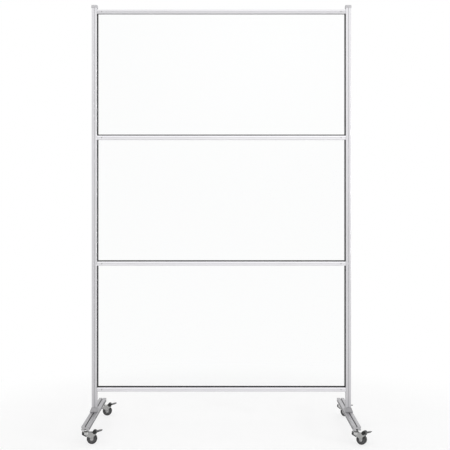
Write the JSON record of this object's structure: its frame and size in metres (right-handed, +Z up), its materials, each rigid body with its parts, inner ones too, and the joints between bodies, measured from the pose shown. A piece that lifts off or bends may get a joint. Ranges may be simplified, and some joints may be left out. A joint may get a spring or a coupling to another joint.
{
  "type": "mobile barrier screen",
  "caption": "Tall free-standing barrier screen: clear panes in a slim aluminium frame on flat feet with braked swivel casters.",
  "frame": {"origin": "middle of the footprint on the floor, with the casters as they stand in the picture", "axes": "+X along the rails to the viewer's right, +Y square to the panes and away from the viewer, +Z up"},
  "size_m": [1.2804, 0.6261, 1.9949],
  "materials": {
    "anodised_aluminium": "satin anodised",
    "cast_aluminium": "fine blasted casting",
    "clear_glass": "clear and polished",
    "gasket_rubber": "matte",
    "cap_plastic": "fine matte grey",
    "zinc_plated_steel": "bright zinc plated",
    "steel": "plain steel",
    "black_plastic": "fine textured",
    "tyre_rubber": "matte",
    "hub_plastic": "satin"
  },
  "bodies": {
    "frame": {"left_post": "anodised_aluminium", "left_post_cap": "cap_plastic", "right_post": "anodised_aluminium", "right_post_cap": "cap_plastic", "bottom_rail": "anodised_aluminium", "bottom_rail_left_connector": "cast_aluminium", "bottom_rail_right_connector": "cast_aluminium", "lower_rail": "anodised_aluminium", "lower_rail_left_connector": "cast_aluminium", "lower_rail_right_connector": "cast_aluminium", "upper_rail": "anodised_aluminium", "upper_rail_left_connector": "cast_aluminium", "upper_rail_right_connector": "cast_aluminium", "top_rail": "anodised_aluminium", "top_rail_left_connector": "cast_aluminium", "top_rail_right_connector": "cast_aluminium", "bottom_glass_panel": "clear_glass", "bottom_pane_gasket": "gasket_rubber", "middle_glass_panel": "clear_glass", "middle_pane_gasket": "gasket_rubber", "top_glass_panel": "clear_glass", "top_pane_gasket": "gasket_rubber", "left_foot": "anodised_aluminium", "left_foot_front_cap": "cap_plastic", "left_foot_rear_cap": "cap_plastic", "left_foot_bracket": "cast_aluminium", "left_foot_bolt": "steel", "right_foot": "anodised_aluminium", "right_foot_front_cap": "cap_plastic", "right_foot_rear_cap": "cap_plastic", "right_foot_bracket": "cast_aluminium", "right_foot_bolt": "steel", "front_left_swivel_stem": "zinc_plated_steel", "front_right_swivel_stem": "zinc_plated_steel", "rear_left_swivel_stem": "zinc_plated_steel", "rear_right_swivel_stem": "zinc_plated_steel"},
    "front_left_swivel": {"front_left_fork": "zinc_plated_steel", "front_left_brake_housing": "black_plastic", "front_left_axle": "steel"},
    "front_left_wheel": {"front_left_tyre": "tyre_rubber", "front_left_wheel_hub": "hub_plastic"},
    "front_left_pedal": {"front_left_brake_pedal": "black_plastic"},
    "front_right_swivel": {"front_right_fork": "zinc_plated_steel", "front_right_brake_housing": "black_plastic", "front_right_axle": "steel"},
    "front_right_wheel": {"front_right_tyre": "tyre_rubber", "front_right_wheel_hub": "hub_plastic"},
    "front_right_pedal": {"front_right_brake_pedal": "black_plastic"},
    "rear_left_swivel": {"rear_left_fork": "zinc_plated_steel", "rear_left_brake_housing": "black_plastic", "rear_left_axle": "steel"},
    "rear_left_wheel": {"rear_left_tyre": "tyre_rubber", "rear_left_wheel_hub": "hub_plastic"},
    "rear_left_pedal": {"rear_left_brake_pedal": "black_plastic"},
    "rear_right_swivel": {"rear_right_fork": "zinc_plated_steel", "rear_right_brake_housing": "black_plastic", "rear_right_axle": "steel"},
    "rear_right_wheel": {"rear_right_tyre": "tyre_rubber", "rear_right_wheel_hub": "hub_plastic"},
    "rear_right_pedal": {"rear_right_brake_pedal": "black_plastic"}
  },
  "joints": [
    {"name": "front_left_swivel_turn", "type": "hinge", "parent": "frame", "child": "front_left_swivel", "pos_m": [-0.62174, -0.26821, 0.052], "axis": [0, 0, 1], "continuous": true},
    {"name": "front_left_wheel_roll", "type": "hinge", "parent": "front_left_swivel", "child": "front_left_wheel", "pos_m": [-0.59574, -0.26821, 0.023], "axis": [0, 1, 0], "continuous": true},
    {"name": "front_left_pedal_press", "type": "hinge", "parent": "front_left_swivel", "child": "front_left_pedal", "pos_m": [-0.58314, -0.26821, 0.0535], "axis": [0, 1, 0], "range_deg": [0, 16]},
    {"name": "front_right_swivel_turn", "type": "hinge", "parent": "frame", "child": "front_right_swivel", "pos_m": [0.57326, -0.26821, 0.052], "axis": [0, 0, 1], "continuous": true},
    {"name": "front_right_wheel_roll", "type": "hinge", "parent": "front_right_swivel", "child": "front_right_wheel", "pos_m": [0.59578, -0.28121, 0.023], "axis": [0.5, 0.866, 0], "continuous": true},
    {"name": "front_right_pedal_press", "type": "hinge", "parent": "front_right_swivel", "child": "front_right_pedal", "pos_m": [0.60669, -0.28751, 0.0535], "axis": [0.5, 0.866, 0], "range_deg": [0, 16]},
    {"name": "rear_left_swivel_turn", "type": "hinge", "parent": "frame", "child": "rear_left_swivel", "pos_m": [-0.62174, 0.28779, 0.052], "axis": [0, 0, 1], "continuous": true},
    {"name": "rear_left_wheel_roll", "type": "hinge", "parent": "rear_left_swivel", "child": "rear_left_wheel", "pos_m": [-0.59574, 0.28779, 0.023], "axis": [0, 1, 0], "continuous": true},
    {"name": "rear_left_pedal_press", "type": "hinge", "parent": "rear_left_swivel", "child": "rear_left_pedal", "pos_m": [-0.58314, 0.28779, 0.0535], "axis": [0, 1, 0], "range_deg": [0, 16]},
    {"name": "rear_right_swivel_turn", "type": "hinge", "parent": "frame", "child": "rear_right_swivel", "pos_m": [0.57326, 0.28779, 0.052], "axis": [0, 0, 1], "continuous": true},
    {"name": "rear_right_wheel_roll", "type": "hinge", "parent": "rear_right_swivel", "child": "rear_right_wheel", "pos_m": [0.59066, 0.26847, 0.023], "axis": [0.7431, 0.6691, 0], "continuous": true},
    {"name": "rear_right_pedal_press", "type": "hinge", "parent": "rear_right_swivel", "child": "rear_right_pedal", "pos_m": [0.59909, 0.2591, 0.0535], "axis": [0.7431, 0.6691, 0], "range_deg": [0, 16]}
  ]
}
